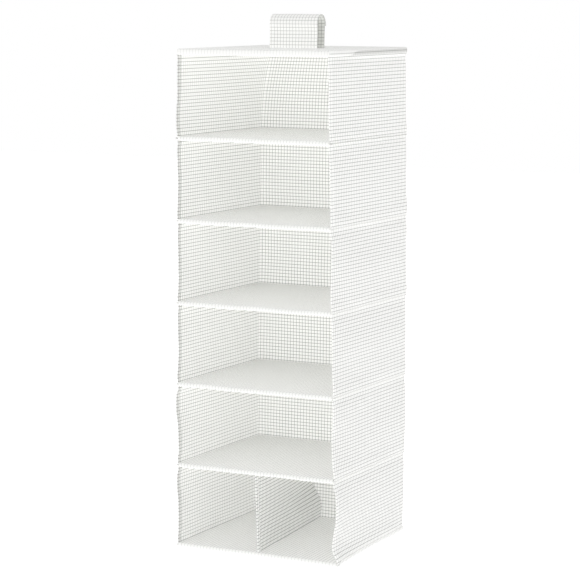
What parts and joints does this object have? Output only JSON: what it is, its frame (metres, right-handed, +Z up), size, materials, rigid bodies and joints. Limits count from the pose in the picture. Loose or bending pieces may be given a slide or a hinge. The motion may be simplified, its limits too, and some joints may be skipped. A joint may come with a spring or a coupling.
{
  "type": "hanging shoe organizer",
  "caption": "Hanging cloth organizer with open-front tiers, a divided bottom tier and a hook-and-loop strap that closes over a wardrobe rail; folds flat.",
  "frame": {"origin": "centre of the rail in the strap's loop, midway along the strap's width", "axes": "+X to the right across the front and along the rail, +Y from the open front to the back wall, +Z up"},
  "size_m": [0.306, 0.3066, 0.9603],
  "materials": {
    "grid_cloth": "white nonwoven cloth with a fine grey grid",
    "seam_cloth": "stitched cloth edge",
    "binding_tape": "woven white edging tape",
    "strap_cloth": "white cloth with a fine grey grid, doubled",
    "hook_tape": "white hook tape",
    "loop_tape": "white loop tape",
    "board": "plain fibreboard"
  },
  "bodies": {
    "hanger": {"top_board": "board", "top_cover": "grid_cloth", "strap_rear_leaf": "strap_cloth", "strap_loop_tape": "loop_tape", "tier_1_left_wall": "grid_cloth", "tier_1_right_wall": "grid_cloth", "tier_1_back_wall": "grid_cloth", "tier_1_front_bindings": "binding_tape"},
    "shelf_1": {"shelf_1_board": "board", "shelf_1_sleeve": "grid_cloth", "shelf_1_seam": "seam_cloth", "tier_2_left_wall": "grid_cloth", "tier_2_right_wall": "grid_cloth", "tier_2_back_wall": "grid_cloth", "tier_2_front_bindings": "binding_tape"},
    "shelf_2": {"shelf_2_board": "board", "shelf_2_sleeve": "grid_cloth", "shelf_2_seam": "seam_cloth", "tier_3_left_wall": "grid_cloth", "tier_3_right_wall": "grid_cloth", "tier_3_back_wall": "grid_cloth", "tier_3_front_bindings": "binding_tape"},
    "shelf_3": {"shelf_3_board": "board", "shelf_3_sleeve": "grid_cloth", "shelf_3_seam": "seam_cloth", "tier_4_left_wall": "grid_cloth", "tier_4_right_wall": "grid_cloth", "tier_4_back_wall": "grid_cloth", "tier_4_front_bindings": "binding_tape"},
    "shelf_4": {"shelf_4_board": "board", "shelf_4_sleeve": "grid_cloth", "shelf_4_seam": "seam_cloth", "tier_5_left_wall": "grid_cloth", "tier_5_right_wall": "grid_cloth", "tier_5_back_wall": "grid_cloth", "tier_5_front_bindings": "binding_tape"},
    "shelf_5": {"shelf_5_board": "board", "shelf_5_sleeve": "grid_cloth", "shelf_5_seam": "seam_cloth", "tier_6_left_wall": "grid_cloth", "tier_6_right_wall": "grid_cloth", "tier_6_back_wall": "grid_cloth", "tier_6_front_bindings": "binding_tape", "divider_panel": "grid_cloth", "divider_binding": "binding_tape"},
    "base": {"base_board": "board", "base_sleeve": "grid_cloth", "base_seam": "seam_cloth"},
    "strap_front": {"strap_front_leaf": "strap_cloth", "strap_front_hook_tape": "hook_tape"},
    "strap_flap": {"strap_flap": "strap_cloth", "strap_flap_hook_tape": "hook_tape"}
  },
  "joints": [
    {"name": "tier_1_fold", "type": "slide", "parent": "hanger", "child": "shelf_1", "axis": [0, 0, 1], "range_m": [0, 0.1355], "deforming": ["tier_1_left_wall", "tier_1_right_wall", "tier_1_back_wall", "tier_1_front_bindings"]},
    {"name": "tier_2_fold", "type": "slide", "parent": "shelf_1", "child": "shelf_2", "axis": [0, 0, 1], "range_m": [0, 0.1315], "deforming": ["tier_2_left_wall", "tier_2_right_wall", "tier_2_back_wall", "tier_2_front_bindings"]},
    {"name": "tier_3_fold", "type": "slide", "parent": "shelf_2", "child": "shelf_3", "axis": [0, 0, 1], "range_m": [0, 0.1315], "deforming": ["tier_3_left_wall", "tier_3_right_wall", "tier_3_back_wall", "tier_3_front_bindings"]},
    {"name": "tier_4_fold", "type": "slide", "parent": "shelf_3", "child": "shelf_4", "axis": [0, 0, 1], "range_m": [0, 0.1315], "deforming": ["tier_4_left_wall", "tier_4_right_wall", "tier_4_back_wall", "tier_4_front_bindings"]},
    {"name": "tier_5_fold", "type": "slide", "parent": "shelf_4", "child": "shelf_5", "axis": [0, 0, 1], "range_m": [0, 0.1315], "deforming": ["tier_5_left_wall", "tier_5_right_wall", "tier_5_back_wall", "tier_5_front_bindings"]},
    {"name": "tier_6_fold", "type": "slide", "parent": "shelf_5", "child": "base", "axis": [0, 0, 1], "range_m": [0, 0.1315], "deforming": ["tier_6_left_wall", "tier_6_right_wall", "tier_6_back_wall", "tier_6_front_bindings", "divider_panel", "divider_binding"]},
    {"name": "strap_front_open", "type": "hinge", "parent": "hanger", "child": "strap_front", "pos_m": [0, -0.01154, -0.0437], "axis": [1, 0, 0], "range_deg": [0, 35]},
    {"name": "strap_flap_open", "type": "hinge", "parent": "strap_front", "child": "strap_flap", "pos_m": [0, 0, 0.0163], "axis": [1, 0, 0], "range_deg": [0, 140]}
  ],
  "couplings": [
    {"joint": "strap_flap_open", "follows": "strap_front_open", "ratio": 4}
  ]
}
